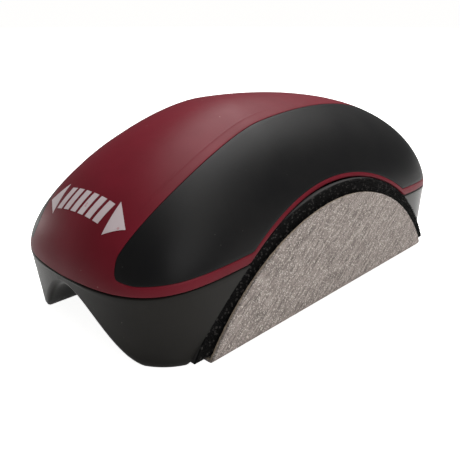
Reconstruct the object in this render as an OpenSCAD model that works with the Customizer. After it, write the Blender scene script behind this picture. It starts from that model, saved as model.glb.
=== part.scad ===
// Palm-held edge sander: a two-part hollow plastic body with rubber side grips,
// a D-shaped hook-and-loop sanding pad on each flat side and a tunnel underneath.
// X runs across the body, the nose points to -Y, Z = 0 is the sole plane.

/* [Body] */
// Overall length, nose to tail
body_length = 127; // [110:1:140]
// Width of the body's plan at its widest, before the flat seats are cut
body_width = 57.2; // [56:0.2:59]
// Rise of the crown above the parting line at its peak
crown_rise = 30.4; // [26:0.2:33]
// Height of the parting line between crown and base, at mid length
part_height = 19.9; // [19.5:0.1:23]
// How far the parting line arches down towards the nose and the tail
part_arch = 2.9; // [1:0.1:3.5]
// How far the parting line falls from mid length to the tail
part_fall = 0; // [0:0.1:1]
// Wall thickness of the crown and the base
wall = 1.8; // [1.6:0.1:2.2]

/* [Sanding faces] */
// Distance from the middle to each flat seat
seat_x = 26.5; // [26:0.1:27]
// Radius of the D outline, seen from the side
pad_radius = 59.4; // [57:0.1:61]
// Depth of the D circle's centre below the sole plane
pad_drop = 29.3; // [28:0.1:31]
// Position of the D circle's centre along the body
pad_y = -0.2; // [-2:0.1:2]
// Thickness of the foam cushion
foam_t = 1; // [0.6:0.1:1.4]
// Thickness of the hook sheet
hook_t = 0.75; // [0.6:0.05:1]
// Thickness of the loop backing of the abrasive sheet
loop_t = 0.4; // [0.3:0.05:0.6]
// Thickness of the coated abrasive cloth
abrasive_t = 0.5; // [0.4:0.05:0.8]
// How far the abrasive sheet stops short of the hook sheet's outline
sheet_margin = 3.6; // [1:0.1:4]
// Inner edge of the abrasive flap under each leg, from the middle
flap_x = 22.6; // [22.2:0.1:23.5]

/* [Tunnel] */
// Height of the tunnel under the body
tunnel_height = 14.1; // [10:0.1:14.3]
// Half width of the tunnel at the sole
tunnel_half = 21.6; // [18:0.2:22]

/* [Grips] */
// Distance from the middle to the upper edge of each grip, at mid length
grip_x = 12.5; // [11.5:0.1:14]
// How much the upper edges close in on each other per millimetre towards the tail
grip_lean = 0.12; // [0.08:0.01:0.13]
// How far they draw in again at the nose
grip_taper = 6.5; // [5:0.1:7.5]
// Thickness of the rubber grips
grip_t = 1.4; // [1:0.1:1.6]
// Height of the crown's bare strip between the grip and the parting line
grip_strip = 2.3; // [1.5:0.1:4]
// Width of the crown's bare rim between the grip and the D window
grip_rim = 1.3; // [1:0.1:2.5]

/* [Screws] */
// Distance of the two case screws from mid length
screw_y = 36; // [30:1:38]
// Thread diameter of the case screws
screw_d = 3; // [2.5:0.1:3.5]
// Head diameter of the case screws
screw_head_d = 5.6; // [5:0.1:6.5]
// Length of the case screws under the head
screw_length = 12; // [10:1:16]

/* [Hidden] */
$fn = 96;
half_length = body_length / 2;
half_width = body_width / 2;
stations = 36;               // steps of every loft along the body
crown_steps = 24;            // steps of the cavity's arch from side to side
foot_steps = 3;              // steps of the crown's contour below, across and between the grips
grip_steps = 8;
top_steps = 12;
tip_half = 5;                // half width of the small flats at nose and tail
tip_rise = 1.2;
plan_mid = -half_length / 3; // where the plan is widest
nose_plan = [6, 2.6];        // roundness of the plan ahead of and behind plan_mid
tail_plan = [5.9, 4.9];
peak_y = -17.5;              // where the crown is highest
nose_profile = [1.6, 1.84];  // roundness of the crown's profile ahead of and behind peak_y
tail_profile = [1.9, 3.31];
side_round = 2.2;            // roundness of the crown's cross-section, sideways and upwards
top_round = 1.66;
end_draft = 0.13;            // how fast the base shortens going down
toe_gap = 0.3;               // the plastic toes clear the sole plane by this much
toe_round = 1.6;
fit_gap = 0.05;              // running gap between neighbouring pieces
leg_z = hook_t + fit_gap + loop_t + abrasive_t;    // underside of each leg, above the flap
recess_x = tunnel_half;      // inner edge of the recess under each leg
sheet_x = seat_x + foam_t + hook_t + fit_gap;      // inner face of the loop backing
face_x = sheet_x + loop_t + abrasive_t;            // outer sanding face
bend = 0.3;                  // inside bend of the abrasive sheet at the sole edge
boss_d = 8;
screw_clearance = 0.4;       // play round the screw and its head, and the bite of its thread
boss_bore = screw_d - screw_clearance;             // pilot bore that the thread cuts into
head_depth = 2.4;            // counterbore under the tunnel roof
head_h = 1.8;                // height of the screw's head
cross_w = 0.8;               // cross recess in the screw's head
cross_l = 3;
cross_depth = 1.1;
pillar_d = screw_head_d + 3.4;
pillar_top = tunnel_height + head_depth + 2.6;     // where the pillar meets the crown's boss
boss_sink = 1.2;             // the bosses end this far inside the crown's surface
window_depth = 6;            // the crown's D windows reach this far inside the seats
lap = 3;                     // cutters run this far past the surface that they open
grip_first = 3;              // station where each grip begins, counted from either tip
grip_blunt = 0.25;           // share of its full width that a grip keeps at its very ends
grip_end = 4.5;              // length over which the ends of a grip are rounded
grip_draft = 0.02;           // share of the grip's width by which its sides lean in
far = 200;

// ---- body surface ----

function fall_off(t, shape) = pow(max(0, 1 - pow(min(1, abs(t)), shape[0])), 1 / shape[1]);

// half width of the plan at y, on the surface that lies inset inside the outer one
function half_at(y, inset) =
    let (nose = y < plan_mid,
         reach = (nose ? half_length + plan_mid : half_length - plan_mid) - inset)
    max(tip_half, (half_width - inset) * fall_off((y - plan_mid) / reach,
                                                  nose ? nose_plan : tail_plan));

function rise_at(y, inset) =
    let (nose = y < peak_y,
         reach = (nose ? half_length + peak_y : half_length - peak_y) - inset)
    max(tip_rise, (crown_rise - inset) * fall_off((y - peak_y) / reach,
                                                  nose ? nose_profile : tail_profile));

function part_z(y) =
    let (t = y / half_length) part_height - part_fall * t - part_arch * t * t;

function station(i, inset) = -(half_length - inset) * cos(180 * i / stations);

function signed_pow(v, k) = sign(v) * pow(abs(v), k);

// point of the crown's contour at angle a, measured up from the right side
function crown_point(y, a, inset) =
    [half_at(y, inset) * signed_pow(cos(a), 2 / side_round), y,
     part_z(y) + rise_at(y, inset) * pow(sin(a), 2 / top_round)];

// angles of the grip's lower edge, which follows the parting line and the D window,
// and of its upper edge, which runs along the body and rounds off at both ends
function grip_low(y, gap) =
    let (d_rise = pow(pad_radius + grip_rim, 2) - pow(y - pad_y, 2),
         z = gap + max(part_z(y) + grip_strip, sqrt(max(0, d_rise)) - pad_drop),
         t = min(1, (z - part_z(y)) / rise_at(y, 0)))
    asin(pow(t, top_round / 2));

function grip_high(y, gap) =
    let (edge = gap + grip_x - grip_lean * y - grip_taper * pow(max(0, -y) / half_length, 6),
         low = grip_low(y, gap),
         full = acos(pow(min(1, edge / half_at(y, 0)), side_round / 2)),
         left = 1 - min(1, (station(stations - grip_first, 0) - abs(y)) / grip_end))
    low + (full - low) * max(grip_blunt, sqrt(max(0, 1 - left * left)));

// angles across the floor of a grip's recess, and across the grip's inner face
function floor_angles(low, high) =
    [for (j = [0:grip_steps])
        low + (high - low) * (grip_draft + (1 - 2 * grip_draft) * j / grip_steps)];

// closed tube of rings that all have the same number of points, with flat ends
module loft(rings) {
    cols = len(rings[0]);
    last = (len(rings) - 1) * cols;
    polyhedron(
        points = [for (ring = rings) for (p = ring) p],
        faces = concat(
            [for (i = [0:len(rings) - 2]) for (j = [0:cols - 1])
                let (k = (j + 1) % cols)
                [i * cols + j, i * cols + k, (i + 1) * cols + k, (i + 1) * cols + j]],
            [[for (j = [cols - 1:-1:0]) j], [for (j = [0:cols - 1]) last + j]]),
        convexity = 6);
}

// right half of the crown's outer contour at y, stepped in by depth where the grip sits;
// past the ends of the grips the points keep the angles that they have at those ends
function crown_half(y, depth) =
    let (grip_y = sign(y) * min(abs(y), station(stations - grip_first, 0)),
         low = grip_low(grip_y, 0), high = grip_high(grip_y, 0), top = 90)
    concat([for (j = [0:foot_steps]) crown_point(y, low * j / foot_steps, 0)],
           [for (a = floor_angles(low, high)) crown_point(y, a, depth)],
           [for (j = [0:top_steps / 2 - 1])
               crown_point(y, high + (top - high) * 2 * j / top_steps, 0)]);

function crown_ring(y, depth) =
    let (half_ring = crown_half(y, depth), n = len(half_ring))
    concat(half_ring, [crown_point(y, 90, 0)],
           [for (j = [n - 1:-1:0]) [-half_ring[j][0], y, half_ring[j][2]]]);

module crown_outside() {
    first = grip_first;
    last = stations - grip_first;
    loft(concat(
        [for (i = [0:first - 1]) crown_ring(station(i, 0), 0)],
        [crown_ring(station(first, 0) - fit_gap, 0)],
        [for (i = [first:last]) crown_ring(station(i, 0), grip_t)],
        [crown_ring(station(last, 0) + fit_gap, 0)],
        [for (i = [last + 1:stations]) crown_ring(station(i, 0), 0)]));
}

// hollow of the crown, which runs on below the parting line by foot
module crown_cavity(inset, foot) {
    loft([for (i = [0:stations]) let (y = station(i, inset), z = part_z(y) - foot)
        concat([for (j = [0:crown_steps]) crown_point(y, 180 * j / crown_steps, inset)],
               [[-half_at(y, inset), y, z], [half_at(y, inset), y, z]])]);
}

// one plan outline of the base; level 1 is the parting line and 0 the sole
function base_ring(level, inset, shrink) =
    let (half_ring = [for (i = [0:stations])
        let (y = station(i, inset), z = part_z(y), d = z * (1 - level))
        [half_at(y, inset) - shrink,
         y * (1 - end_draft * d / half_length) * (1 - shrink / half_length), z * level]])
    concat(half_ring, [for (i = [stations:-1:0])
        [-half_ring[i][0], half_ring[i][1], half_ring[i][2]]]);

// solid between the sole and the parting surface, raised by lift at the top
module base_solid(inset = 0, lift = 0) {
    levels = [[0, toe_round * 0.8], [0.03, toe_round * 0.25], [0.09, 0], [0.5, 0], [1, 0]];
    raised = [for (p = base_ring(1, inset, 0)) p + [0, 0, lift]];
    rings = concat([for (l = levels) base_ring(l[0], inset, l[1])], lift > 0 ? [raised] : []);
    cols = 2 * (stations + 1);
    top = (len(rings) - 1) * cols;
    polyhedron(
        points = [for (ring = rings) for (p = ring) p],
        faces = concat(
            [for (i = [0:len(rings) - 2]) for (j = [0:cols - 1])
                let (k = (j + 1) % cols)
                [i * cols + j, (i + 1) * cols + j, (i + 1) * cols + k, i * cols + k]],
            [for (i = [0:stations - 1]) [i, i + 1, cols - 2 - i, cols - 1 - i]],
            [for (i = [0:stations - 1])
                [top + cols - 1 - i, top + cols - 2 - i, top + i + 1, top + i]]),
        convexity = 6);
}

// ---- shared shapes ----

module mirrored() {
    children();
    mirror([1, 0, 0]) children();
}

// D-shaped disc between two X positions, round at the top; it runs below the sole plane
module d_disc(x_in, x_out, radius) {
    translate([x_in, pad_y, -pad_drop]) rotate([0, 90, 0]) cylinder(r = radius, h = x_out - x_in);
}

// block from z_low up, over the whole length
module slab(x_in, x_out, z_low, z_high) {
    translate([x_in, -far / 2, z_low]) cube([x_out - x_in, far, z_high - z_low]);
}

// bell-shaped profile of the tunnel, grown outwards by grow
module tunnel_profile(grow) {
    steps = 32;
    half = tunnel_half + grow;
    high = tunnel_height + grow;
    polygon(concat([[-half, -1]], [for (i = [0:steps])
        let (t = 2 * i / steps - 1) [half * t, high * (1 + cos(180 * t)) / 2]], [[half, -1]]));
}

module tunnel(grow = 0) {
    translate([0, far / 2, 0]) rotate([90, 0, 0]) linear_extrude(far) tunnel_profile(grow);
}

// ---- shells ----

module crown_shell() {
    color([0.42, 0.07, 0.12]) difference() {
        union() {
            difference() {
                crown_outside();
                crown_cavity(inset = wall + grip_t, foot = lap);
            }
            for (y = [-screw_y, screw_y])
                let (edge = y + sign(y) * boss_d / 2, top = part_z(edge) + rise_at(edge, boss_sink))
                translate([0, y, pillar_top]) cylinder(d = boss_d, h = top - pillar_top);
        }
        mirrored() d_disc(seat_x - window_depth, far, pad_radius + fit_gap);
        for (y = [-screw_y, screw_y])
            translate([0, y, pillar_top - 1]) cylinder(d = boss_bore, h = screw_length);
    }
}

// rubber skin that fills the recess in the crown's right side
module grip() {
    color([0.05, 0.05, 0.055]) loft([for (i = [grip_first:stations - grip_first])
        let (y = station(i, 0) * (1 - fit_gap / half_length),
             low = grip_low(y, fit_gap), high = grip_high(y, fit_gap),
             inner = floor_angles(low, high))
        concat([for (j = [0:grip_steps]) crown_point(y, low + (high - low) * j / grip_steps, 0)],
               [for (j = [grip_steps:-1:0]) crown_point(y, inner[j], grip_t - fit_gap)])]);
}

module right_grip() { grip(); }
module left_grip() { mirror([1, 0, 0]) grip(); }

// flat plate behind each sanding pad; it fills the crown's D window from inside
module cheek() {
    intersection() {
        d_disc(seat_x - wall, seat_x, pad_radius - fit_gap);
        slab(0, far, leg_z, far);
    }
}

module base_shell() {
    color([0.20, 0.195, 0.19]) difference() {
        union() {
            difference() {
                base_solid();
                difference() {
                    base_solid(inset = wall, lift = lap);
                    slab(-far, far, -1, leg_z + wall);
                    tunnel(wall);
                    mirrored() d_disc(seat_x - wall, far, pad_radius + wall);
                }
            }
            mirrored() cheek();
            for (y = [-screw_y, screw_y])
                translate([0, y, tunnel_height]) cylinder(d = pillar_d, h = pillar_top - tunnel_height);
        }
        tunnel();
        slab(-far, far, -1, toe_gap);
        mirrored() {
            d_disc(seat_x, far, pad_radius);
            intersection() {
                d_disc(recess_x, far, pad_radius);
                slab(0, far, -1, leg_z);
            }
        }
        for (y = [-screw_y, screw_y]) translate([0, y, 0]) {
            cylinder(d = screw_d + screw_clearance, h = far);
            cylinder(d = screw_head_d + screw_clearance, h = tunnel_height + head_depth);
        }
    }
}

// ---- sanding pads ----

// sheet bent round the sole edge: a D on the side and a flap under the leg
module bent_sheet(x_in, x_out, z_low, z_high, radius, reach, round_in, round_out) {
    intersection() {
        d_disc(0, far, radius);
        rotate([90, 0, 0]) linear_extrude(far, center = true) difference() {
            translate([reach, z_low]) {
                square([x_out - reach - round_out, far]);
                translate([0, round_out]) square([x_out - reach, far]);
                translate([x_out - reach - round_out, round_out]) circle(round_out);
            }
            translate([0, z_high + round_in]) square([x_in, far]);
            translate([0, z_high]) square([x_in - round_in, far]);
            translate([x_in - round_in, z_high + round_in]) circle(round_in);
        }
    }
}

module foam() {
    color([0.13, 0.13, 0.135]) intersection() {
        d_disc(seat_x, seat_x + foam_t, pad_radius - fit_gap);
        slab(0, far, leg_z, far);
    }
}

module hook_sheet() {
    x_in = seat_x + foam_t;
    color([0.03, 0.03, 0.035])
        bent_sheet(x_in, x_in + hook_t, leg_z - hook_t, leg_z, pad_radius - fit_gap,
                   recess_x + fit_gap, 0.01, bend);
}

module loop_backing() {
    color([0.55, 0.5, 0.44])
        bent_sheet(sheet_x, sheet_x + loop_t, abrasive_t, abrasive_t + loop_t,
                   pad_radius - sheet_margin, flap_x, bend + fit_gap, bend + fit_gap + loop_t);
}

module abrasive_sheet() {
    x_in = sheet_x + loop_t;
    color([0.63, 0.6, 0.57])
        bent_sheet(x_in, face_x, 0, abrasive_t, pad_radius - sheet_margin, flap_x,
                   bend + fit_gap + loop_t, bend + fit_gap + loop_t + abrasive_t);
}

module right_foam() { foam(); }
module left_foam() { mirror([1, 0, 0]) foam(); }
module right_hook() { hook_sheet(); }
module left_hook() { mirror([1, 0, 0]) hook_sheet(); }
module right_loop() { loop_backing(); }
module left_loop() { mirror([1, 0, 0]) loop_backing(); }
module right_abrasive() { abrasive_sheet(); }
module left_abrasive() { mirror([1, 0, 0]) abrasive_sheet(); }

// ---- fasteners ----

// pan-head screw standing in its counterbore, with a cross recess in the head
module case_screw(y) {
    head_top = tunnel_height + head_depth;
    color([0.7, 0.7, 0.72]) translate([0, y, head_top]) difference() {
        union() {
            cylinder(d = boss_bore - 0.02, h = screw_length);
            translate([0, 0, -head_h]) cylinder(d = screw_head_d, h = head_h);
        }
        for (a = [0, 90]) rotate([0, 0, a])
            translate([-cross_l / 2, -cross_w / 2, -head_h - 1]) cube([cross_l, cross_w, 1 + cross_depth]);
    }
}

module nose_screw() { case_screw(-screw_y); }
module tail_screw() { case_screw(screw_y); }

crown_shell();
base_shell();
left_grip();
right_grip();
left_foam();
right_foam();
left_hook();
right_hook();
left_loop();
right_loop();
left_abrasive();
right_abrasive();
nose_screw();
tail_screw();
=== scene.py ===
import math
import random

import bmesh
import bpy
from mathutils import Matrix, Vector


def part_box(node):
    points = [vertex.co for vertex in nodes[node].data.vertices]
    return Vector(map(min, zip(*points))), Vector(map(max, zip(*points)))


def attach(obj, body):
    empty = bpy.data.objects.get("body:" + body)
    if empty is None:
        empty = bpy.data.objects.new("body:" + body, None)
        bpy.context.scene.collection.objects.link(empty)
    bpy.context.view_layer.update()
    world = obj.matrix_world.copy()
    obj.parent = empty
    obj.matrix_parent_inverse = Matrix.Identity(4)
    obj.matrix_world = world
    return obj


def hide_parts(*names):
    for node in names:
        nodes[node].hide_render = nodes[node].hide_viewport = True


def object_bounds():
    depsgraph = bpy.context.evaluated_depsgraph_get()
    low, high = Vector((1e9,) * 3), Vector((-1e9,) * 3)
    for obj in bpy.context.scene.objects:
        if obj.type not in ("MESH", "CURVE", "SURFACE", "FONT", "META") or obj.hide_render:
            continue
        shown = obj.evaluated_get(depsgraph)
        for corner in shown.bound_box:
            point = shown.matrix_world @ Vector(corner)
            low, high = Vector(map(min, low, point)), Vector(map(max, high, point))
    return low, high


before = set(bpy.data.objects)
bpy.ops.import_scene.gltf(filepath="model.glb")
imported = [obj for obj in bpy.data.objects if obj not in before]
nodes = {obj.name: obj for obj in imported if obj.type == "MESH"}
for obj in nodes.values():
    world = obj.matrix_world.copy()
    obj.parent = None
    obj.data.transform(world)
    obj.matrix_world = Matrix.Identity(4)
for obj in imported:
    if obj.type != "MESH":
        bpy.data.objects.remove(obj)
cadLow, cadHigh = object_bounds()
mm = 0.001


# ---- the body's surface, which the shells, the grips and the print all share ----

bodyForm = {
    "halfLength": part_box("crown_shell")[1].y,
    "halfWidth": 28.6 * mm,
    "rise": 30.4 * mm,            # crown above the parting line, at its peak
    "peakY": -17.5 * mm,
    "noseProfile": (1.6, 1.84),
    "tailProfile": (1.9, 3.31),
    "nosePlan": (6.0, 2.6),
    "tailPlan": (5.9, 4.9),
    "sideRound": 2.2,             # roundness of a cross-section, sideways and upwards
    "topRound": 1.66,
    "partHeight": 19.9 * mm,      # parting line at mid length, and how far it arches down
    "partArch": 2.9 * mm,
    "endDraft": 0.13,             # how fast the base shortens going down
}

padForm = {
    "radius": 59.4 * mm,          # the D outline is a circle's cap above the sole
    "centreY": -0.2 * mm,
    "centreZ": -29.3 * mm,
    "seat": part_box("right_foam")[0].x,
    "foamTop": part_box("right_foam")[1].x,
    "legZ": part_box("right_foam")[0].z,
    "hookReach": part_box("right_hook")[0].x,
}


def fallOff(t, shape):
    return max(0.0, 1 - min(1.0, abs(t)) ** shape[0]) ** (1 / shape[1])


def halfAt(y, inset=0.0):
    middle = -bodyForm["halfLength"] / 3
    nose = y < middle
    reach = bodyForm["halfLength"] + (middle if nose else -middle) - inset
    wide = (bodyForm["halfWidth"] - inset) * fallOff(
        (y - middle) / reach, bodyForm["nosePlan" if nose else "tailPlan"])
    return max(0.001 * mm, wide)


def riseAt(y, inset=0.0):
    peak = bodyForm["peakY"]
    nose = y < peak
    reach = bodyForm["halfLength"] + (peak if nose else -peak) - inset
    high = (bodyForm["rise"] - inset) * fallOff(
        (y - peak) / reach, bodyForm["noseProfile" if nose else "tailProfile"])
    return max(0.001 * mm, high)


def partAt(y):
    t = y / bodyForm["halfLength"]
    return bodyForm["partHeight"] - bodyForm["partArch"] * t * t


def crownPoint(y, angle, inset=0.0):
    side, up = math.cos(angle), math.sin(angle)
    x = halfAt(y, inset) * math.copysign(abs(side) ** (2 / bodyForm["sideRound"]), side)
    z = partAt(y) + riseAt(y, inset) * max(0.0, up) ** (2 / bodyForm["topRound"])
    return Vector((x, y, z))


def crownHeight(x, y):
    flat = min(1.0, abs(x) / halfAt(y)) ** bodyForm["sideRound"]
    return partAt(y) + riseAt(y) * (1 - flat) ** (1 / bodyForm["topRound"])


def angleAtHeight(y, z):
    t = min(1.0, max(0.0, (z - partAt(y)) / riseAt(y)))
    return math.asin(t ** (bodyForm["topRound"] / 2))


def angleAtSide(y, x):
    return math.acos(min(1.0, max(0.0, x) / halfAt(y)) ** (bodyForm["sideRound"] / 2))


def windowHeight(y, radius):
    across = radius ** 2 - (y - padForm["centreY"]) ** 2
    return math.sqrt(max(0.0, across)) + padForm["centreZ"]


# ---- mesh helpers ----

def finish(bm, name, body, slot, material, replaces=(), smoothAngle=35):
    bmesh.ops.remove_doubles(bm, verts=bm.verts, dist=1e-7)
    bmesh.ops.recalc_face_normals(bm, faces=bm.faces)
    mesh = bpy.data.meshes.new(name)
    bm.to_mesh(mesh)
    bm.free()
    mesh.shade_smooth()
    mesh.set_sharp_from_angle(angle=math.radians(smoothAngle))
    piece = bpy.data.objects.new(name, mesh)
    bpy.context.scene.collection.objects.link(piece)
    mesh.materials.append(material)
    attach(piece, body)
    if replaces:
        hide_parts(*replaces)
    return piece


def bentGrid(rows, columns, place):
    # a flat grid whose point in row i and column j moves to place(i, j)
    bm = bmesh.new()
    bmesh.ops.create_grid(bm, x_segments=rows - 1, y_segments=columns - 1, size=0.5)
    for vert in bm.verts:
        i = round((vert.co.x + 0.5) * (rows - 1))
        j = round((vert.co.y + 0.5) * (columns - 1))
        vert.co = place(i, j)
    return bm


def mirrored(bm):
    bmesh.ops.scale(bm, vec=(-1, 1, 1), verts=bm.verts)
    bmesh.ops.reverse_faces(bm, faces=bm.faces)
    return bm


def carve(bm, cutters):
    # cuts the closed shapes in cutters out of the closed shape bm, at a thousand times its size
    def temporary(shape):
        mesh = bpy.data.meshes.new("carving")
        bmesh.ops.scale(shape, vec=(1 / mm, 1 / mm, 1 / mm), verts=shape.verts)
        bmesh.ops.recalc_face_normals(shape, faces=shape.faces)
        shape.to_mesh(mesh)
        shape.free()
        made = bpy.data.objects.new("carving", mesh)
        bpy.context.scene.collection.objects.link(made)
        return made

    block = temporary(bm)
    for cutter in cutters:
        knife = temporary(cutter)
        cut = block.modifiers.new("cut", "BOOLEAN")
        cut.operation, cut.solver, cut.object = "DIFFERENCE", "EXACT", knife
        graph = bpy.context.evaluated_depsgraph_get()
        carved = bpy.data.meshes.new_from_object(block.evaluated_get(graph))
        block.modifiers.clear()
        block.data = carved
        bpy.data.objects.remove(knife)
    result = bmesh.new()
    result.from_mesh(block.data)
    bmesh.ops.scale(result, vec=(mm, mm, mm), verts=result.verts)
    bpy.data.objects.remove(block)
    return result


def discCutter(xLow, xHigh, radius, segments=384):
    # solid disc across X that carries the D outline
    bm = bmesh.new()
    bmesh.ops.create_cone(bm, cap_ends=True, segments=segments, radius1=radius, radius2=radius,
                          depth=xHigh - xLow, matrix=Matrix.Rotation(math.pi / 2, 4, "Y"))
    bmesh.ops.translate(bm, verts=bm.verts,
                        vec=((xLow + xHigh) / 2, padForm["centreY"], padForm["centreZ"]))
    return bm


# ---- materials ----

def socketIn(group, kind, name, value):
    item = group.interface.new_socket(name=name, in_out="INPUT", socket_type="NodeSocket" + kind)
    item.default_value = value


def newGroup(name, inputs, outputs):
    group = bpy.data.node_groups.new(name, "ShaderNodeTree")
    for label, kind, value in inputs:
        socketIn(group, kind, label, value)
    for label, kind in outputs:
        group.interface.new_socket(name=label, in_out="OUTPUT", socket_type="NodeSocket" + kind)
    return group, group.nodes.new("NodeGroupInput"), group.nodes.new("NodeGroupOutput")


def addNode(tree, kind, settings=None, **inputs):
    # inputs are values, or sockets to link from; spaces in their names are written as _
    node = tree.nodes.new("ShaderNode" + kind)
    for key, value in (settings or {}).items():
        setattr(node, key, value)
    for key, value in inputs.items():
        socket = node.inputs[int(key[1:])] if key[0] == "i" and key[1:].isdigit() \
            else node.inputs[key.replace("_", " ")]
        if isinstance(value, bpy.types.NodeSocket):
            tree.links.new(value, socket)
        else:
            socket.default_value = value
    return node


def mathNode(tree, operation, a, b=0.0, clamp=False):
    return addNode(tree, "Math", {"operation": operation, "use_clamp": clamp}, i0=a, i1=b).outputs[0]


def mixColour(tree, share, a, b, blend="MIX"):
    node = addNode(tree, "Mix", {"data_type": "RGBA", "blend_type": blend}, i0=share, i6=a, i7=b)
    return node.outputs[2]


def makeGrain():
    # fine moulded or spark-eroded surface: a height for bump and a slow drift for tone
    group, given, out = newGroup(
        "mouldedGrain",
        [("Scale", "Float", 6000.0), ("Drift Scale", "Float", 40.0)],
        [("Height", "Float"), ("Drift", "Float")])
    place = addNode(group, "TexCoord").outputs["Object"]
    fine = addNode(group, "TexNoise", Vector=place, Scale=given.outputs["Scale"],
                   Detail=3.0, Roughness=0.6)
    half = mathNode(group, "MULTIPLY", given.outputs["Scale"], 0.42)
    pits = addNode(group, "TexVoronoi", Vector=place, Scale=half)
    height = mathNode(group, "ADD", fine.outputs["Fac"],
                      mathNode(group, "MULTIPLY", pits.outputs["Distance"], 0.5))
    slow = addNode(group, "TexNoise", Vector=place, Scale=given.outputs["Drift Scale"],
                   Detail=4.0, Roughness=0.55)
    group.links.new(height, out.inputs["Height"])
    group.links.new(slow.outputs["Fac"], out.inputs["Drift"])
    return group


def makeSpecks():
    # sparse pale specks of dust, denser where a slow noise says so
    group, given, out = newGroup(
        "dustSpecks",
        [("Scale", "Float", 900.0), ("Size", "Float", 0.12), ("Amount", "Float", 0.5)],
        [("Mask", "Float")])
    place = addNode(group, "TexCoord").outputs["Object"]
    cells = addNode(group, "TexVoronoi", Vector=place, Scale=given.outputs["Scale"])
    dot = mathNode(group, "LESS_THAN", cells.outputs["Distance"], given.outputs["Size"])
    patch = addNode(group, "TexNoise", Vector=place, Scale=90.0, Detail=2.0)
    some = mathNode(group, "GREATER_THAN", patch.outputs["Fac"],
                    mathNode(group, "SUBTRACT", 1.0, given.outputs["Amount"]))
    lone = mathNode(group, "GREATER_THAN", addNode(group, "SeparateColor", Color=cells.outputs["Color"]
                                                   ).outputs[0], 0.72)
    mask = mathNode(group, "MULTIPLY", mathNode(group, "MULTIPLY", dot, some), lone)
    group.links.new(mask, out.inputs["Mask"])
    return group


def makeTone():
    # one colour drifting slowly towards another
    group, given, out = newGroup(
        "toneDrift",
        [("Color", "Color", (1, 1, 1, 1)), ("Other Color", "Color", (0, 0, 0, 1)),
         ("Drift", "Float", 0.5), ("Low", "Float", 0.35), ("High", "Float", 0.65)],
        [("Color", "Color")])
    share = addNode(group, "MapRange", Value=given.outputs["Drift"], From_Min=given.outputs["Low"],
                    From_Max=given.outputs["High"]).outputs["Result"]
    mixed = mixColour(group, share, given.outputs["Color"], given.outputs["Other Color"])
    group.links.new(mixed, out.inputs["Color"])
    return group


grainGroup, specksGroup, toneGroup = makeGrain(), makeSpecks(), makeTone()


def placeGroup(tree, group, **inputs):
    return addNode(tree, "Group", {"node_tree": group}, **inputs)


def newMaterial(name, **shaderValues):
    material = bpy.data.materials.new(name)
    material.use_nodes = True
    shader = material.node_tree.nodes["Principled BSDF"]
    for key, value in shaderValues.items():
        shader.inputs[key.replace("_", " ")].default_value = value
    return material, material.node_tree, shader


mouldedLooks = {
    "crownPlastic": {
        "color": (0.148, 0.0090, 0.0185, 1), "other": (0.120, 0.0070, 0.0140, 1),
        "dust": (0.40, 0.22, 0.20, 1), "dustAmount": 0.42, "dustSize": 0.10,
        "rough": (0.42, 0.50), "grain": 5200.0, "depth": 0.000008, "specular": 0.15},
    "gripRubber": {
        "color": (0.0062, 0.0062, 0.0068, 1), "other": (0.0085, 0.0083, 0.0083, 1),
        "dust": (0.05, 0.05, 0.047, 1), "dustAmount": 0.45, "dustSize": 0.10,
        "rough": (0.38, 0.46), "grain": 4200.0, "depth": 0.000010, "specular": 0.15},
    "basePlastic": {
        "color": (0.0150, 0.0140, 0.0122, 1), "other": (0.0118, 0.0110, 0.0098, 1),
        "dust": (0.14, 0.13, 0.11, 1), "dustAmount": 0.38, "dustSize": 0.10,
        "rough": (0.40, 0.48), "grain": 5200.0, "depth": 0.000010, "specular": 0.14,
        "sheen": 0.7},
    "printInk": {
        "color": (0.60, 0.53, 0.55, 1), "other": (0.50, 0.42, 0.44, 1),
        "dust": (0.45, 0.15, 0.16, 1), "dustAmount": 0.60, "dustSize": 0.22,
        "rough": (0.45, 0.60), "grain": 7000.0, "depth": 0.000006, "specular": 0.4},
}


def mouldedMaterial(name):
    look = mouldedLooks[name]
    material, tree, shader = newMaterial(name, Specular_IOR_Level=look["specular"],
                                         Sheen_Weight=look.get("sheen", 0.0),
                                         Sheen_Roughness=0.3)
    grain = placeGroup(tree, grainGroup, Scale=look["grain"], Drift_Scale=55.0)
    tone = placeGroup(tree, toneGroup, Color=look["color"], Other_Color=look["other"],
                      Drift=grain.outputs["Drift"])
    specks = placeGroup(tree, specksGroup, Scale=700.0, Size=look["dustSize"],
                        Amount=look["dustAmount"])
    dust = mathNode(tree, "MULTIPLY", specks.outputs["Mask"], 0.55)
    colour = mixColour(tree, dust, tone.outputs["Color"], look["dust"])
    rough = addNode(tree, "MapRange", Value=grain.outputs["Drift"], From_Min=0.3, From_Max=0.7,
                    To_Min=look["rough"][0], To_Max=look["rough"][1])
    bump = addNode(tree, "Bump", Height=grain.outputs["Height"], Distance=look["depth"],
                   Strength=1.0)
    tree.links.new(colour, shader.inputs["Base Color"])
    tree.links.new(rough.outputs["Result"], shader.inputs["Roughness"])
    tree.links.new(bump.outputs["Normal"], shader.inputs["Normal"])
    return material


abrasiveLook = {
    "streakTurn": 38.0,           # degrees up from the body's length, towards the tail
    "pale": (0.430, 0.375, 0.345, 1),
    "mid": (0.270, 0.232, 0.213, 1),
    "dark": (0.105, 0.088, 0.081, 1),
    "gritScale": 4200.0,
    "gritDepth": 0.00006,
}


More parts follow.
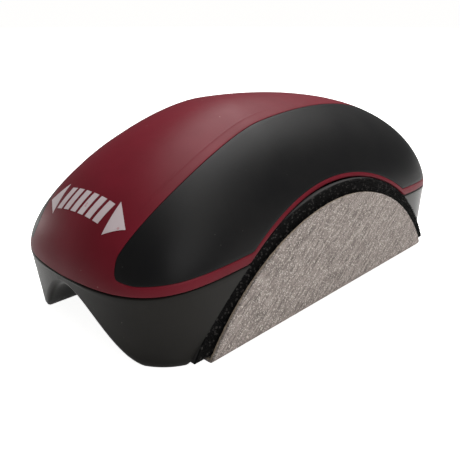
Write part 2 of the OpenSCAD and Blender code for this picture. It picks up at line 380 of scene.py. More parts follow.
def abrasiveMaterial():
    look = abrasiveLook
    material, tree, shader = newMaterial("abrasiveCloth", Specular_IOR_Level=0.35)
    place = addNode(tree, "TexCoord").outputs["Object"]
    turned = addNode(tree, "Mapping", Vector=place,
                     Rotation=(math.radians(-look["streakTurn"]), 0, 0))
    streaked = addNode(tree, "Mapping", Vector=turned.outputs[0], Scale=(1.0, 0.14, 1.0))
    streaks = addNode(tree, "TexNoise", Vector=streaked.outputs[0], Scale=1500.0, Detail=4.0,
                      Roughness=0.62)
    clumps = addNode(tree, "TexNoise", Vector=place, Scale=3200.0, Detail=5.0, Roughness=0.7)
    grit = addNode(tree, "TexVoronoi", Vector=place, Scale=look["gritScale"])
    grain = placeGroup(tree, grainGroup, Scale=4200.0, Drift_Scale=60.0)
    shade = mathNode(tree, "ADD", mathNode(tree, "MULTIPLY", streaks.outputs["Fac"], 0.62),
                     mathNode(tree, "MULTIPLY", clumps.outputs["Fac"], 0.38))
    ramp = addNode(tree, "ValToRGB", Fac=shade)
    band = ramp.color_ramp
    band.elements[0].position, band.elements[0].color = 0.36, look["dark"]
    band.elements[1].position, band.elements[1].color = 0.62, look["pale"]
    band.elements.new(0.49).color = look["mid"]
    single = addNode(tree, "SeparateColor", Color=grit.outputs["Color"]).outputs[0]
    sparkle = mathNode(tree, "GREATER_THAN", single, 0.90)
    lit = mixColour(tree, mathNode(tree, "MULTIPLY", sparkle, 0.55), ramp.outputs["Color"],
                    (0.86, 0.80, 0.74, 1))
    # painted shade: a few grit cells are darkened towards near black, as shade in the hollows between
    # grains
    hollowShade = mathNode(tree, "LESS_THAN", single, 0.16)
    colour = mixColour(tree, mathNode(tree, "MULTIPLY", hollowShade, 0.6), lit, (0.085, 0.07, 0.062, 1))
    height = mathNode(tree, "ADD", mathNode(tree, "MULTIPLY", grit.outputs["Distance"], -0.5),
                      mathNode(tree, "ADD", mathNode(tree, "MULTIPLY", streaks.outputs["Fac"], 0.9),
                               mathNode(tree, "MULTIPLY", grain.outputs["Height"], 0.5)))
    bump = addNode(tree, "Bump", Height=height, Distance=look["gritDepth"], Strength=0.9)
    rough = addNode(tree, "MapRange", Value=clumps.outputs["Fac"], To_Min=0.62, To_Max=0.9)
    tree.links.new(colour, shader.inputs["Base Color"])
    tree.links.new(rough.outputs["Result"], shader.inputs["Roughness"])
    tree.links.new(bump.outputs["Normal"], shader.inputs["Normal"])
    return material


def hookMaterial():
    # black nylon, with lint caught in it
    material, tree, shader = newMaterial("hookNylon", Specular_IOR_Level=0.10)
    grain = placeGroup(tree, grainGroup, Scale=2500.0, Drift_Scale=300.0)
    tone = placeGroup(tree, toneGroup, Color=(0.0018, 0.0018, 0.0020, 1),
                      Other_Color=(0.0045, 0.0043, 0.0043, 1), Drift=grain.outputs["Drift"])
    specks = placeGroup(tree, specksGroup, Scale=1500.0, Size=0.42, Amount=0.72)
    colour = mixColour(tree, mathNode(tree, "MULTIPLY", specks.outputs["Mask"], 0.8),
                       tone.outputs["Color"], (0.055, 0.052, 0.050, 1))
    bump = addNode(tree, "Bump", Height=grain.outputs["Height"], Distance=0.00012, Strength=0.8)
    rough = addNode(tree, "MapRange", Value=grain.outputs["Drift"], To_Min=0.55, To_Max=0.8)
    tree.links.new(colour, shader.inputs["Base Color"])
    tree.links.new(rough.outputs["Result"], shader.inputs["Roughness"])
    tree.links.new(bump.outputs["Normal"], shader.inputs["Normal"])
    return material


def foamMaterial():
    # closed-cell foam, with pores along its cut edge, each pore painted darker towards its middle as
    # painted shade
    material, tree, shader = newMaterial("cellFoam", Specular_IOR_Level=0.3)
    place = addNode(tree, "TexCoord").outputs["Object"]
    pores = addNode(tree, "TexVoronoi", Vector=place, Scale=3600.0)
    grain = placeGroup(tree, grainGroup, Scale=5200.0, Drift_Scale=120.0)
    tone = placeGroup(tree, toneGroup, Color=(0.010, 0.010, 0.0105, 1),
                      Other_Color=(0.017, 0.0165, 0.016, 1), Drift=grain.outputs["Drift"])
    # painted shade: each pore's colour darkens towards its middle, where the bump sinks deepest
    poreShade = addNode(tree, "MapRange", Value=pores.outputs["Distance"], From_Min=0.0, From_Max=0.35,
                   To_Min=0.4, To_Max=0.0)
    colour = mixColour(tree, poreShade.outputs["Result"], tone.outputs["Color"], (0.004, 0.004, 0.004, 1))
    height = mathNode(tree, "ADD", pores.outputs["Distance"],
                      mathNode(tree, "MULTIPLY", grain.outputs["Height"], 0.3))
    bump = addNode(tree, "Bump", Height=height, Distance=0.00006, Strength=0.8)
    rough = addNode(tree, "MapRange", Value=grain.outputs["Drift"], To_Min=0.6, To_Max=0.75)
    tree.links.new(colour, shader.inputs["Base Color"])
    tree.links.new(rough.outputs["Result"], shader.inputs["Roughness"])
    tree.links.new(bump.outputs["Normal"], shader.inputs["Normal"])
    return material


def loopMaterial():
    # brushed loop cloth on the back of the abrasive
    material, tree, shader = newMaterial("loopCloth", Specular_IOR_Level=0.25, Sheen_Weight=0.35,
                                         Sheen_Roughness=0.5)
    place = addNode(tree, "TexCoord").outputs["Object"]
    nap = addNode(tree, "TexNoise", Vector=place, Scale=1900.0, Detail=6.0, Roughness=0.75,
                  Distortion=1.5)
    knit = addNode(tree, "TexWave", {"wave_type": "BANDS", "bands_direction": "Y"}, Vector=place,
                   Scale=260.0, Distortion=3.0, Detail=2.0)
    grain = placeGroup(tree, grainGroup, Scale=3200.0, Drift_Scale=70.0)
    tone = placeGroup(tree, toneGroup, Color=(0.30, 0.235, 0.17, 1),
                      Other_Color=(0.22, 0.165, 0.115, 1), Drift=nap.outputs["Fac"])
    colour = mixColour(tree, mathNode(tree, "MULTIPLY", knit.outputs["Fac"], 0.3),
                       tone.outputs["Color"], (0.37, 0.31, 0.24, 1))
    height = mathNode(tree, "ADD", nap.outputs["Fac"],
                      mathNode(tree, "MULTIPLY", knit.outputs["Fac"], 0.4))
    bump = addNode(tree, "Bump", Height=height, Distance=0.00015, Strength=0.8)
    rough = addNode(tree, "MapRange", Value=grain.outputs["Drift"], To_Min=0.82, To_Max=0.95)
    tree.links.new(colour, shader.inputs["Base Color"])
    tree.links.new(rough.outputs["Result"], shader.inputs["Roughness"])
    tree.links.new(bump.outputs["Normal"], shader.inputs["Normal"])
    return material


def steelMaterial():
    # zinc-plated screw
    material, tree, shader = newMaterial("zincSteel", Metallic=1.0)
    grain = placeGroup(tree, grainGroup, Scale=2600.0, Drift_Scale=380.0)
    tone = placeGroup(tree, toneGroup, Color=(0.52, 0.53, 0.55, 1),
                      Other_Color=(0.40, 0.40, 0.39, 1), Drift=grain.outputs["Drift"])
    rough = addNode(tree, "MapRange", Value=grain.outputs["Drift"], To_Min=0.24, To_Max=0.46)
    bump = addNode(tree, "Bump", Height=grain.outputs["Height"], Distance=0.00002, Strength=0.6)
    tree.links.new(tone.outputs["Color"], shader.inputs["Base Color"])
    tree.links.new(rough.outputs["Result"], shader.inputs["Roughness"])
    tree.links.new(bump.outputs["Normal"], shader.inputs["Normal"])
    return material


crownPlastic = mouldedMaterial("crownPlastic")
gripRubber = mouldedMaterial("gripRubber")
basePlastic = mouldedMaterial("basePlastic")
printInk = mouldedMaterial("printInk")
abrasiveCloth, hookNylon, cellFoam = abrasiveMaterial(), hookMaterial(), foamMaterial()
loopCloth, zincSteel = loopMaterial(), steelMaterial()
print("materials made")


# ---- crown and grips ----

gripForm = {
    "edge": 12.5 * mm,            # upper edge from the middle, at mid length
    "lean": 0.12,                 # both edges close in on each other towards the tail
    "taper": 6.5 * mm,            # and draw in again at the nose
    "strip": 2.3 * mm,            # bare crown below the grip, and round the D window
    "rim": 1.3 * mm,
    "end": 60.9 * mm,             # where each grip ends, from mid length
    "endRound": 4.0 * mm,
    "depth": 1.4 * mm,
    "gap": 0.04 * mm,
    "softEdge": 0.14 * mm,
    "closing": 0.42,              # share of its width at which each rounded end closes
}

crownForm = {
    "stations": 210,
    "endRows": 20,                # close rows where each grip rounds off
    "endRowStep": 0.11 * mm,
    "leastStep": 0.012 * mm,      # rows closer than this are left out
    "wall": 2.7 * mm,             # the grips lie in recesses half this deep
    "insideSteps": 40,
    "footGap": 0.12 * mm,         # half of the dark gap along the parting line
    "footRound": 0.3 * mm,
    "creaseFrom": -58 * mm,       # the moulded line beside each grip fades at both ends
    "creaseTo": -8 * mm,
    "noseFade": 8 * mm,
    "tailFade": 14 * mm,
    "creaseAt": 2.3 * mm,
    "creaseHalf": 0.22 * mm,
    "creaseRise": 0.09 * mm,
    # distances from the grip's edge at which the crown's columns run, in millimetres
    "columnsBeside": (0.5, 1.0, 1.5, 1.85, 2.05, 2.2, 2.35, 2.5, 2.7, 3.1, 3.8, 4.8),
}


def rowPositions():
    reach, end = bodyForm["halfLength"], gripForm["end"]
    count = crownForm["stations"]
    rows = [-reach * math.cos(math.pi * i / count) for i in range(count + 1)]
    rows += [side * (end - crownForm["endRowStep"] * i)
             for side in (-1, 1) for i in range(crownForm["endRows"])]
    rows.sort()
    kept = [rows[0]]
    for y in rows[1:-1]:
        if min(y - kept[-1], reach - y) > crownForm["leastStep"]:
            kept.append(y)
    kept.append(rows[-1])
    for side in (-1, 1):                    # one row runs exactly through each window corner
        low, high = 0.0, side * reach * 0.95
        for step in range(40):
            middle = (low + high) / 2
            if windowHeight(middle, padForm["radius"]) > partAt(middle):
                low = middle
            else:
                high = middle
        nearest = min(range(len(kept)), key=lambda i: abs(kept[i] - low))
        kept[nearest] = low
    return kept


def footHeight(y):
    above = partAt(y) + crownForm["footGap"]
    return max(above, windowHeight(y, padForm["radius"] + 2 * crownForm["footGap"]))


def gripSpan(y, gap=0.0):
    # angles of the grip's lower and upper edge at y; both close in at its rounded ends
    end = gripForm["end"] - gap
    y = max(-end, min(end, y))
    low = angleAtHeight(y, gap + max(partAt(y) + gripForm["strip"],
                                     windowHeight(y, padForm["radius"] + gripForm["rim"])))
    toNose = max(0.0, -y) / bodyForm["halfLength"]
    edge = gap + gripForm["edge"] - gripForm["lean"] * y - gripForm["taper"] * toNose ** 6
    high = angleAtSide(y, edge)
    last = math.copysign(end, y)
    away = (crownPoint(y, low) - crownPoint(last, low)).length
    left = 1 - min(1.0, away / gripForm["endRound"])
    width = math.sqrt(max(0.0, 1 - left * left))
    middle = low + gripForm["closing"] * (high - low)
    return middle - (middle - low) * width, middle + (high - middle) * width, width


def turnFor(y, angle, distance):
    # change of angle that moves a point by distance over the surface
    step = 0.002
    length = (crownPoint(y, angle + step) - crownPoint(y, angle - step)).length
    return distance * 2 * step / max(length, 1e-7)


def creaseAmount(y, offset):
    # height of the fine bead that runs beside each grip
    fadeNose = min(1.0, max(0.0, (y - crownForm["creaseFrom"]) / crownForm["noseFade"]))
    fadeTail = min(1.0, max(0.0, (crownForm["creaseTo"] - y) / crownForm["tailFade"]))
    across = (offset - crownForm["creaseAt"]) / crownForm["creaseHalf"]
    bead = math.exp(-across * across)
    return crownForm["creaseRise"] * bead * fadeNose * fadeTail


def crownSection(y):
    # (angle, inset) pairs of the right half, from the foot up to the crest
    foot = angleAtHeight(y, footHeight(y))
    low, high, width = gripSpan(y)
    low, high = max(low, foot + 0.004), max(high, foot + 0.005)
    round0, round1 = crownForm["footRound"], gripForm["softEdge"] * width
    footTurn = min(turnFor(y, foot + 0.01, round0), (low - foot) * 0.4)
    lowTurn = min(turnFor(y, low, round1), (low - foot) * 0.3)
    highTurn = turnFor(y, high, round1)
    inside = abs(y) <= gripForm["end"]
    depth = gripForm["depth"] if inside and width > 0 else 0.0
    section = []
    for turn in (0, 30, 60, 90):
        bend = math.radians(turn)
        section.append((foot + footTurn * (1 - math.cos(bend)), round0 * (1 - math.sin(bend))))
    for i in range(1, 4):
        section.append((foot + footTurn + (low - lowTurn - foot - footTurn) * i / 4, 0.0))
    for turn in (0, 45, 90):
        bend = math.radians(turn)
        section.append((low - lowTurn * (1 - math.sin(bend)), round1 * (1 - math.cos(bend))))
    for i in range(11):
        section.append((low + (high - low) * i / 10, depth))
    for turn in (90, 45, 0):
        bend = math.radians(turn)
        section.append((high + highTurn * (1 - math.sin(bend)), round1 * (1 - math.cos(bend))))
    crest = math.pi / 2
    start = high + highTurn
    last = start
    for offset in crownForm["columnsBeside"]:
        if abs(y) > gripForm["end"] - 0.5 * mm:
            angle = start + (crest - start) * offset / 16
        else:
            angle = start + turnFor(y, start, offset * mm)
        angle = min(angle, start + (crest - start) * (0.12 + 0.6 * offset / 4.8))
        last = max(last, angle)
        section.append((last, -creaseAmount(y, offset * mm)))
    for i in range(1, 10):
        section.append((last + (crest - last) * i / 9, 0.0))
    return section


def buildCrown():
    rows = rowPositions()
    sections = [crownSection(y) for y in rows]
    half = len(sections[0])
    inside = crownForm["insideSteps"]
    columns = 2 * half - 1 + inside + 2

    def place(i, j):
        # round the outside from right to left, then back round the inside
        y = rows[i]
        if j < 2 * half - 1:
            angle, inset = sections[i][j if j < half else 2 * half - 2 - j]
            point = crownPoint(y, angle, inset)
            if j >= half:
                point.x = -point.x
            return point
        if j == columns - 1:
            return crownPoint(y, *sections[i][0])
        foot = angleAtHeight(y, footHeight(y))
        share = (j - 2 * half + 1) / inside
        point = crownPoint(y, foot + (math.pi - 2 * foot) * (1 - share), crownForm["wall"])
        point.z = max(point.z, footHeight(y))
        return point

    bm = bentGrid(len(rows), columns, place)
    return finish(bm, "crown", "body", "crown_plastic", crownPlastic, ["crown_shell"], 40)


def buildGrip(name, side):
    rows = [y for y in rowPositions() if abs(y) < gripForm["end"] - gripForm["gap"]]
    end = gripForm["end"] - gripForm["gap"]
    rows = [-end] + rows + [end]
    sections = []
    for y in rows:
        low, high, width = gripSpan(y, gripForm["gap"])
        soft = gripForm["softEdge"] * width
        turn = min(turnFor(y, low, soft), (high - low) * 0.3)
        turnHigh = min(turnFor(y, high, soft), (high - low) * 0.3)
        depth = (gripForm["depth"] - gripForm["gap"]) * min(1.0, width * 3)
        section = [(low, depth * 0.5)]
        for bend in (0, 30, 60, 90):
            lift = math.sin(math.radians(bend))
            section.append((low + turn * (1 - math.cos(math.radians(bend))), soft * (1 - lift)))
        for i in range(1, 24):
            section.append((low + turn + (high - turnHigh - low - turn) * i / 24, 0.0))
        for bend in (90, 60, 30, 0):
            lift = math.sin(math.radians(bend))
            section.append((high - turnHigh * (1 - math.cos(math.radians(bend))), soft * (1 - lift)))
        section.append((high, depth * 0.5))
        for i in range(9):
            section.append((high + (low - high) * i / 8, depth))
        section.append(section[0])
        sections.append(section)

    bm = bentGrid(len(rows), len(sections[0]), lambda i, j: crownPoint(rows[i], *sections[i][j]))
    if side < 0:
        mirrored(bm)
    return finish(bm, name, "body", "grip_rubber", gripRubber,
                  ["right_grip" if side > 0 else "left_grip"], 50)


buildCrown()
for side, name in ((1, "gripRight"), (-1, "gripLeft")):
    buildGrip(name, side)
print("crown and grips made")


# ---- base ----

baseForm = {
    "columns": 150,               # along each side
    "tipColumns": 24,             # across each end
    "wallRows": 16,
    "lipRound": 1.5 * mm,
    "topRound": 0.3 * mm,
    "underRows": 34,
    "wall": 2.2 * mm,
    "floor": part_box("nose_screw")[0].z + 2.6 * mm,   # inner floor, just above the screws' heads
    "innerHalf": 24 * mm,
    "tunnelHeight": 14.1 * mm,
    "tunnelHalf": 21.6 * mm,
    "toeGap": 0.3 * mm,
    "screwHole": 3.4 * mm,
    "headHole": 6.0 * mm,
    "headSeat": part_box("nose_screw")[0].z + 1.8 * mm,
}


def underAt(x):
    share = min(1.0, abs(x) / baseForm["tunnelHalf"])
    return max(baseForm["toeGap"], baseForm["tunnelHeight"] * (1 + math.cos(math.pi * share)) / 2)


def planColumns():
    # (x, y) round the plan, from the nose along the right side and back along the left
    reach, count, tips = bodyForm["halfLength"], baseForm["columns"], baseForm["tipColumns"]
    spots = [-reach * math.cos(math.pi * i / count) for i in range(1, count)]
    right = [(halfAt(y), y) for y in spots]
    tail = [(right[-1][0] * (1 - 2 * i / tips), reach) for i in range(1, tips)]
    nose = [(right[0][0] * (2 * i / tips - 1), -reach) for i in range(1, tips)]
    return right + tail + [(-x, y) for x, y in reversed(right)] + nose


def planPoint(column, down):
    x, y = column
    return Vector((x, y * (1 - bodyForm["endDraft"] * down / bodyForm["halfLength"])))


def buildBase():
    columns = planColumns()
    count = len(columns)
    top = [partAt(column[1]) - crownForm["footGap"] for column in columns]
    lows = []
    for column, high in zip(columns, top):
        low = underAt(planPoint(column, high).x)
        lows.append(underAt(planPoint(column, high - low).x))
    # where the tunnel comes close to the parting line, both rounded edges shrink to fit
    lips = [min(baseForm["lipRound"], 0.5 * (high - low)) for high, low in zip(top, lows)]
    brims = [min(baseForm["topRound"], 0.2 * (high - low)) for high, low in zip(top, lows)]

    def inward(k, down):
        # direction of an ellipse's normal, so that neighbouring columns never cross
        flat = planPoint(columns[k], down)
        return -Vector((flat.x / bodyForm["halfWidth"] ** 2,
                        flat.y / bodyForm["halfLength"] ** 2)).normalized()

    def wallPoint(k, down, inset, z):
        flat = planPoint(columns[k], down) + inward(k, down) * inset
        return Vector((flat.x, flat.y, z))

    def innerPoint(k, share, z):
        flat = planPoint(columns[k], 0)
        flat.x *= 1 - baseForm["wall"] / bodyForm["halfWidth"]
        flat.y *= 1 - baseForm["wall"] / bodyForm["halfLength"]
        flat.x = max(-baseForm["innerHalf"], min(baseForm["innerHalf"], flat.x))
        return Vector((flat.x * share, flat.y * share, z))

    rings = []
    for share in (0.0, 0.3, 0.6, 0.85, 1.0):
        rings.append([innerPoint(k, share, baseForm["floor"]) for k in range(count)])
    for drop in (2 * mm, 0.0):
        rings.append([innerPoint(k, 1, max(baseForm["floor"] + 0.3 * mm, top[k] - drop))
                      for k in range(count)])
    for turn in (0, 30, 60, 90):
        bend = math.radians(turn)
        inward0, drop = 1 - math.sin(bend), 1 - math.cos(bend)
        rings.append([wallPoint(k, 0, brims[k] * inward0, top[k] - brims[k] * drop)
                      for k in range(count)])
    for i in range(1, baseForm["wallRows"] + 1):
        ring = []
        for k in range(count):
            first = top[k] - brims[k]
            z = first + (lows[k] + lips[k] - first) * i / baseForm["wallRows"]
            ring.append(wallPoint(k, partAt(columns[k][1]) - z, 0, z))
        rings.append(ring)
    for turn in (18, 36, 54, 72, 90):
        bend = math.radians(turn)
        ring = []
        for k in range(count):
            down = top[k] - lows[k]
            point = wallPoint(k, down, lips[k] * (1 - math.cos(bend)), 0)
            rise = lips[k] * (1 - math.sin(bend))
            point.z = underAt(point.x) * math.sin(bend) + lows[k] * (1 - math.sin(bend)) + rise
            ring.append(point)
        rings.append(ring)
    edge = rings[-1]
    for i in range(1, baseForm["underRows"] + 1):
        share = 1 - i / baseForm["underRows"]
        rings.append([Vector((p.x * share, p.y * share, underAt(p.x * share))) for p in edge])

    bm = bentGrid(len(rings), count + 1, lambda i, j: rings[i][j % count])
    bmesh.ops.remove_doubles(bm, verts=bm.verts, dist=1e-7)

    cutters = []
    for side in (1, -1):
        seat = discCutter(padForm["seat"], padForm["seat"] + 9 * mm, padForm["radius"])
        recess = discCutter(baseForm["tunnelHalf"], padForm["seat"] + 1 * mm, padForm["radius"])
        everything = recess.verts[:] + recess.edges[:] + recess.faces[:]
        cut = bmesh.ops.bisect_plane(recess, geom=everything, plane_co=(0, 0, padForm["legZ"]),
                                     plane_no=(0, 0, 1), clear_outer=True)
        rim = [item for item in cut["geom_cut"] if isinstance(item, bmesh.types.BMEdge)]
        bmesh.ops.edgeloop_fill(recess, edges=rim)
        for cutter in (seat, recess):
            if side < 0:
                mirrored(cutter)
            cutters.append(cutter)
    for node in ("nose_screw", "tail_screw"):
        low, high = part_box(node)
        for diameter, ceiling in ((baseForm["headHole"], baseForm["headSeat"]),
                                  (baseForm["screwHole"], baseForm["floor"] + 2 * mm)):
            hole = bmesh.new()
            bmesh.ops.create_cone(hole, cap_ends=True, segments=48, radius1=diameter / 2,
                                  radius2=diameter / 2, depth=ceiling)
            bmesh.ops.translate(hole, verts=hole.verts,
                                vec=(0, (low.y + high.y) / 2, ceiling / 2))
            cutters.append(hole)
    bm = carve(bm, cutters)
    return finish(bm, "base", "body", "base_plastic", basePlastic, ["base_shell"], 32)


buildBase()
print("base made")


# ---- pads ----

sheetForm = {
    "hookRadius": padForm["radius"] - 0.05 * mm,
    "sheetRadius": padForm["radius"] - 3.6 * mm,
    "hookBack": 0.35 * mm,        # the woven ground that the hooks stand on
    "hookTall": 0.42 * mm,
    "hookThick": 0.18 * mm,
    "borderPitch": 0.50 * mm,
    "fieldPitch": 0.72 * mm,
    "flapPitch": 1.0 * mm,
    "segments": 720,
}


def discOutline(radius, x, zLow, segments, ragged=0.0, seed=1):
    # flat D at x, cut off below zLow, its round edge ragged by a little
    chance = random.Random(seed)
    bm = bmesh.new()
    bmesh.ops.create_circle(bm, cap_ends=True, segments=segments, radius=radius,
                            matrix=Matrix.Rotation(math.pi / 2, 4, "Y"))
    for vert in bm.verts:
        vert.co *= 1 + ragged * chance.uniform(-1, 1) / radius
    bmesh.ops.translate(bm, verts=bm.verts, vec=(x, padForm["centreY"], padForm["centreZ"]))
    everything = bm.verts[:] + bm.edges[:] + bm.faces[:]
    bmesh.ops.bisect_plane(bm, geom=everything, plane_co=(0, 0, zLow), plane_no=(0, 0, -1),
                           clear_outer=True)
    return bm


def thicken(bm, vec):
    grown = bmesh.ops.extrude_face_region(bm, geom=bm.faces[:])
    verts = [item for item in grown["geom"] if isinstance(item, bmesh.types.BMVert)]
    bmesh.ops.translate(bm, verts=verts, vec=vec)


def buildFoam(side, name):
    low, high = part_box("right_foam")
    bm = discOutline(sheetForm["hookRadius"], low.x, low.z, 480)
    thicken(bm, (high.x - low.x, 0, 0))
    rims = [edge for edge in bm.edges if edge.calc_face_angle(0) > 1.2]
    bmesh.ops.bevel(bm, geom=rims, offset=0.12 * mm, segments=2, affect="EDGES", profile=0.5,
                    material=-1, clamp_overlap=True)
    if side < 0:
        mirrored(bm)
    piece = finish(bm, name, "body", "foam", cellFoam,
                   ["right_foam" if side > 0 else "left_foam"], 40)
    return piece


def bentSheet(x, zFlap, bend, reach, radius, thickness, segments, ragged=0.0, seed=1):
    # D face at x, bent through a quarter turn at the sole into a flap at zFlap;
    # the sheet grows inwards from there by thickness
    bm = discOutline(radius, x, zFlap + bend, segments, ragged, seed)
    sole = [edge for edge in bm.edges
            if all(abs(vert.co.z - zFlap - bend) < 1e-7 for vert in edge.verts)]
    turned = bmesh.ops.spin(bm, geom=sole, cent=(x - bend, 0, zFlap + bend), axis=(0, 1, 0),
                            angle=math.pi / 2, steps=6)
    last = [item for item in turned["geom_last"] if isinstance(item, bmesh.types.BMEdge)]
    flap = bmesh.ops.extrude_edge_only(bm, edges=last)
    verts = [item for item in flap["geom"] if isinstance(item, bmesh.types.BMVert)]
    bmesh.ops.translate(bm, verts=verts, vec=(reach - x + bend, 0, 0))
    bmesh.ops.remove_doubles(bm, verts=bm.verts, dist=1e-7)
    bmesh.ops.recalc_face_normals(bm, faces=bm.faces)
    face = max(bm.faces, key=lambda item: item.calc_area())
    if face.normal.x < 0:
        bmesh.ops.reverse_faces(bm, faces=bm.faces)
    bmesh.ops.solidify(bm, geom=bm.faces[:], thickness=thickness)
    return bm


def hookShape():
    # one bent nylon hook, standing on the origin along +X
    thick, tall = sheetForm["hookThick"], sheetForm["hookTall"]
    bm = bmesh.new()
    bmesh.ops.create_circle(bm, cap_ends=True, segments=4, radius=thick / 2,
                            matrix=Matrix.Rotation(math.pi / 2, 4, "Y"))
    tip = bm.faces[:]
    for rise, lean, size in ((0.55, 0.0, 0.9), (0.35, 0.16, 0.85), (0.10, 0.30, 0.8)):
        grown = bmesh.ops.extrude_face_region(bm, geom=tip)
        verts = [item for item in grown["geom"] if isinstance(item, bmesh.types.BMVert)]
        bmesh.ops.translate(bm, verts=verts, vec=(tall * rise, 0, tall * lean))
        middle = sum((vert.co for vert in verts), Vector()) / len(verts)
        bmesh.ops.scale(bm, vec=(size, size, size), verts=verts,
                        space=Matrix.Translation(-middle))
        bmesh.ops.delete(bm, geom=tip, context="FACES_ONLY")
        tip = [item for item in grown["geom"] if isinstance(item, bmesh.types.BMFace)]
    mesh = bpy.data.meshes.new("hook")
    bm.to_mesh(mesh)
    bm.free()
    return mesh


def hookPlaces(seed):
    # matrices of the hooks of one pad: close-set along the open border, wider elsewhere
    chance = random.Random(seed)
    face = padForm["foamTop"] + sheetForm["hookBack"]
    radius, border = sheetForm["hookRadius"], sheetForm["sheetRadius"] - 0.6 * mm
    floor = padForm["legZ"] + 0.4 * mm
    places = []

    def stand(x, y, z, turn):
        jitter = Matrix.Rotation(chance.uniform(-0.3, 0.3), 4, "Y") @ Matrix.Rotation(
            chance.uniform(-0.3, 0.3), 4, "Z")
        spin = Matrix.Rotation(chance.uniform(0, 2 * math.pi), 4, "X")
        size = Matrix.Scale(chance.uniform(0.85, 1.08), 4)
        places.append(Matrix.Translation((x, y, z)) @ turn @ jitter @ spin @ size)

    upright = Matrix.Identity(4)
    ring = border
    while ring < radius - 0.12 * mm:
        spread = math.acos((floor - padForm["centreZ"]) / ring)
        count = int(2 * spread * ring / sheetForm["borderPitch"])
        for i in range(count + 1):
            angle = spread * (2 * (i + chance.uniform(-0.25, 0.25)) / count - 1)
            length = ring + chance.uniform(-0.09, 0.09) * mm
            stand(face, padForm["centreY"] + length * math.sin(angle),
                  max(floor, padForm["centreZ"] + length * math.cos(angle)), upright)
        ring += sheetForm["borderPitch"]
    pitch = sheetForm["fieldPitch"]
    z = floor
    while z < radius + padForm["centreZ"]:
        y = -radius
        while y < radius:
            spotY, spotZ = y + chance.uniform(-0.2, 0.2) * pitch, z + chance.uniform(-0.2, 0.2) * pitch
            if math.hypot(spotY, spotZ - padForm["centreZ"]) < border - 0.3 * mm:
                stand(face, padForm["centreY"] + spotY, max(floor, spotZ), upright)
            y += pitch
        z += pitch
    downward = Matrix.Rotation(math.pi / 2, 4, "Y")
    low = padForm["legZ"] - sheetForm["hookBack"]
    bendTop = padForm["legZ"] - padForm["centreZ"]
    halfSole = math.sqrt(radius ** 2 - bendTop ** 2) - 0.5 * mm
    x = padForm["hookReach"] + 0.5 * mm
    while x < padForm["foamTop"]:
        y = -halfSole
        while y < halfSole:
            stand(x, padForm["centreY"] + y, low, downward)
            y += sheetForm["flapPitch"]
        x += sheetForm["flapPitch"]
    return places


def buildHooks(side, name):
    # the hooks are copies of one shape, so they are laid out in one pass
    shape = hookShape()
    places = hookPlaces(7 if side > 0 else 11)
    verts = [vert.co for vert in shape.vertices]
    faces = [tuple(face.vertices) for face in shape.polygons]
    allVerts, allFaces = [], []
    for place in places:
        first = len(allVerts)
        allVerts.extend(place @ co for co in verts)
        allFaces.extend(tuple(first + k for k in face) for face in faces)
    mesh = bpy.data.meshes.new(name)
    mesh.from_pydata(allVerts, [], allFaces)
    bm = bmesh.new()
    bm.from_mesh(mesh)
    if side < 0:
        mirrored(bm)
    piece = bpy.data.objects.new(name, mesh)
    bm.to_mesh(mesh)
    bm.free()
    mesh.shade_smooth()
    mesh.materials.append(hookNylon)
    bpy.context.scene.collection.objects.link(piece)
    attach(piece, "body")
    print(name, len(places), "hooks")
    return piece


def buildPad(side, word):
    body = "right_sheet" if side > 0 else "left_sheet"
    node = "right_" if side > 0 else "left_"
    buildFoam(side, "foam" + word)

    sole = 2 * math.sqrt(sheetForm["hookRadius"] ** 2 - padForm["centreZ"] ** 2)
    back = padForm["foamTop"] + sheetForm["hookBack"]
    ground = bentSheet(back, padForm["legZ"] - sheetForm["hookBack"], 0.32 * mm,
                       padForm["hookReach"], sheetForm["hookRadius"], sheetForm["hookBack"],
                       480, 0.03 * mm, 3)
    if side < 0:
        mirrored(ground)
    groundPiece = finish(ground, "hookGround" + word, "body", "hook_fabric", hookNylon,
                         [node + "hook"], 40)
    hooks = buildHooks(side, "hooks" + word)
    wide = back - padForm["hookReach"]
    area = capArea(sheetForm["hookRadius"]) + sole * wide

    for part, slot, material, seed in (("loop", "loop_fabric", loopCloth, 5),
                                       ("abrasive", "abrasive_cloth", abrasiveCloth, 9)):
        low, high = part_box("right_" + part)
        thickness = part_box("right_abrasive")[1].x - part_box("right_loop")[1].x \
            if part == "abrasive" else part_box("right_loop")[1].x - loopInner
        bend = 0.9 * mm if part == "loop" else 0.9 * mm + thickness
        sheet = bentSheet(high.x, low.z, bend, low.x, sheetForm["sheetRadius"], thickness,
                          sheetForm["segments"], 0.07 * mm, seed)
        if side < 0:
            mirrored(sheet)
        piece = finish(sheet, part + "Sheet" + word, body, slot, material, [node + part], 40)
        reach = high.x - low.x
        chord = 2 * math.sqrt(sheetForm["sheetRadius"] ** 2 - padForm["centreZ"] ** 2)
        capArea(sheetForm["sheetRadius"]) + chord * reach


def capArea(radius):
    # area of the D above the sole
    angle = math.acos(-padForm["centreZ"] / radius)
    return radius ** 2 * (angle - math.sin(angle) * math.cos(angle))


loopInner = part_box("right_hook")[1].x + 0.05 * mm
for side, word in ((1, "Right"), (-1, "Left")):
    buildPad(side, word)
print("pads made")


# ---- print on the nose ----

markForm = {
    "centreY": -56.2 * mm,
    "width": 28.4 * mm,
    "height": 4.6 * mm,
    "bars": 6,
    "barWide": 1.9 * mm,
    "slant": 0.4,
    "headLong": 4.6 * mm,
    "gap": 0.9 * mm,
    "lift": 0.02 * mm,
    "ink": 0.03 * mm,
}


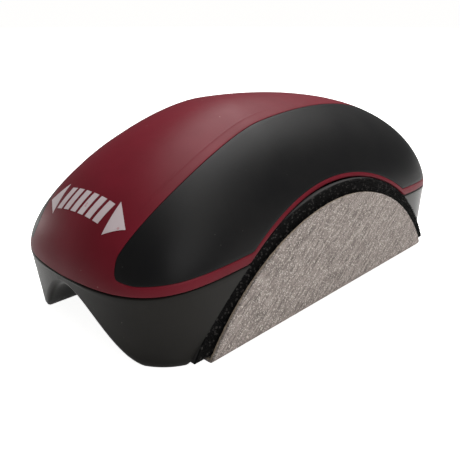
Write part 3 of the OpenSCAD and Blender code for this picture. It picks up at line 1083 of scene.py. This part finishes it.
def buildMark():
    # two-headed arrow with slanted bars between its heads, printed across the nose
    form = markForm
    marks = bmesh.new()

    def addShape(centre, long, tall, pointAt):
        # grid whose height shrinks towards pointAt, -1 or 1 along X, or stays level for 0
        made = bmesh.ops.create_grid(marks, x_segments=8, y_segments=12, size=0.5)
        for vert in made["verts"]:
            along, up = vert.co.x, vert.co.y
            shrink = 1.0 if pointAt == 0 else max(0.02, 0.5 - pointAt * along)
            slant = form["slant"] * up * tall if pointAt == 0 else 0.0
            x = centre + along * long + slant
            y = form["centreY"] + up * tall * shrink
            vert.co = (x, y, crownHeight(x, y) + form["lift"])

    reach = form["width"] / 2 - form["headLong"] - form["gap"] - form["barWide"] / 2
    reach -= form["slant"] * form["height"] * 0.4
    for i in range(form["bars"]):
        addShape(reach * (2 * i / (form["bars"] - 1) - 1), form["barWide"], form["height"] * 0.8, 0)
    for side in (-1, 1):
        addShape(side * (form["width"] - form["headLong"]) / 2, form["headLong"],
                 form["height"] * 1.15, side)
    bmesh.ops.recalc_face_normals(marks, faces=marks.faces)
    for face in marks.faces:
        if face.normal.z < 0:
            face.normal_flip()
    bmesh.ops.solidify(marks, geom=marks.faces[:], thickness=-form["ink"])
    return finish(marks, "noseMark", "body", "crown_plastic", printInk, (), 60)


buildMark()

for name in ("nose_screw", "tail_screw"):
    screw = nodes[name]
    for materialSlot in screw.material_slots:
        materialSlot.material = zincSteel
print("print and screws finished")


# ---- floor, light and camera ----

stageForm = {
    "floorHalf": 12.0,
    "floorColor": (0.86, 0.86, 0.855, 1),
    "floorGlow": 1.1,             # keeps the floor pale out to the horizon
    "worldColor": (1.0, 0.995, 0.985, 1),
    "worldStrength": 0.11,
    "cameraPlace": (0.0995, -0.1149, 0.0670),
    "cameraDown": 20.56,          # degrees below the horizon
    "cameraTurn": 43.93,
    "lens": 42.86,
}

lamps = {
    # name: place, aim, size, watts, colour
    "topLight": ((-0.02, 0.22, 0.60), (0, 0, 0.03), 0.60, 6.2, (1.0, 0.99, 0.98)),
    "leftLight": ((-0.50, -0.13, 0.03), (-0.03, -0.05, 0.01), 0.10, 0.20, (1.0, 0.98, 0.95)),
    "rightLight": ((0.50, -0.05, 0.36), (0, 0, 0.01), 0.45, 1.25, (1.0, 0.99, 0.97)),
}

bm = bmesh.new()
bmesh.ops.create_grid(bm, x_segments=1, y_segments=1, size=stageForm["floorHalf"])
bmesh.ops.translate(bm, verts=bm.verts, vec=(0, 0, cadLow.z - 0.02 * mm))
floorMesh = bpy.data.meshes.new("floor")
bm.to_mesh(floorMesh)
bm.free()
floor = bpy.data.objects.new("floor", floorMesh)
bpy.context.scene.collection.objects.link(floor)
floorPaint, floorTree, floorShader = newMaterial(
    "floorPaint", Base_Color=stageForm["floorColor"], Roughness=0.9, Specular_IOR_Level=0.2)
glow = addNode(floorTree, "Mix", {"data_type": "RGBA"},
               i0=addNode(floorTree, "LightPath").outputs["Is Camera Ray"],
               i6=(0, 0, 0, 1), i7=stageForm["floorColor"])
floorTree.links.new(glow.outputs[2], floorShader.inputs["Emission Color"])
floorShader.inputs["Emission Strength"].default_value = stageForm["floorGlow"]
floorMesh.materials.append(floorPaint)

for name, (place, aim, size, watts, colour) in lamps.items():
    light = bpy.data.lights.new(name, "AREA")
    light.shape, light.size, light.energy, light.color = "SQUARE", size, watts, colour
    lamp = bpy.data.objects.new(name, light)
    lamp.location = place
    lamp.rotation_euler = (Vector(aim) - Vector(place)).to_track_quat("-Z", "Y").to_euler()
    bpy.context.scene.collection.objects.link(lamp)

world = bpy.data.worlds.new("studio")
world.use_nodes = True
sky = world.node_tree.nodes["Background"]
sky.inputs["Color"].default_value = stageForm["worldColor"]
# the backdrop is white to look at and lights the object only a little
seen = addNode(world.node_tree, "LightPath").outputs["Is Camera Ray"]
strength = addNode(world.node_tree, "MapRange", Value=seen, To_Min=stageForm["worldStrength"],
                   To_Max=1.0)
world.node_tree.links.new(strength.outputs["Result"], sky.inputs["Strength"])
bpy.context.scene.world = world

cameraData = bpy.data.cameras.new("camera")
cameraData.lens, cameraData.sensor_width = stageForm["lens"], 36
cameraData.clip_start = 0.01
camera = bpy.data.objects.new("camera", cameraData)
camera.location = stageForm["cameraPlace"]
camera.rotation_euler = (math.radians(90 - stageForm["cameraDown"]), 0,
                         math.radians(stageForm["cameraTurn"]))
bpy.context.scene.collection.objects.link(camera)
bpy.context.scene.camera = camera
bpy.context.scene.view_settings.view_transform = "Standard"
print("stage made")
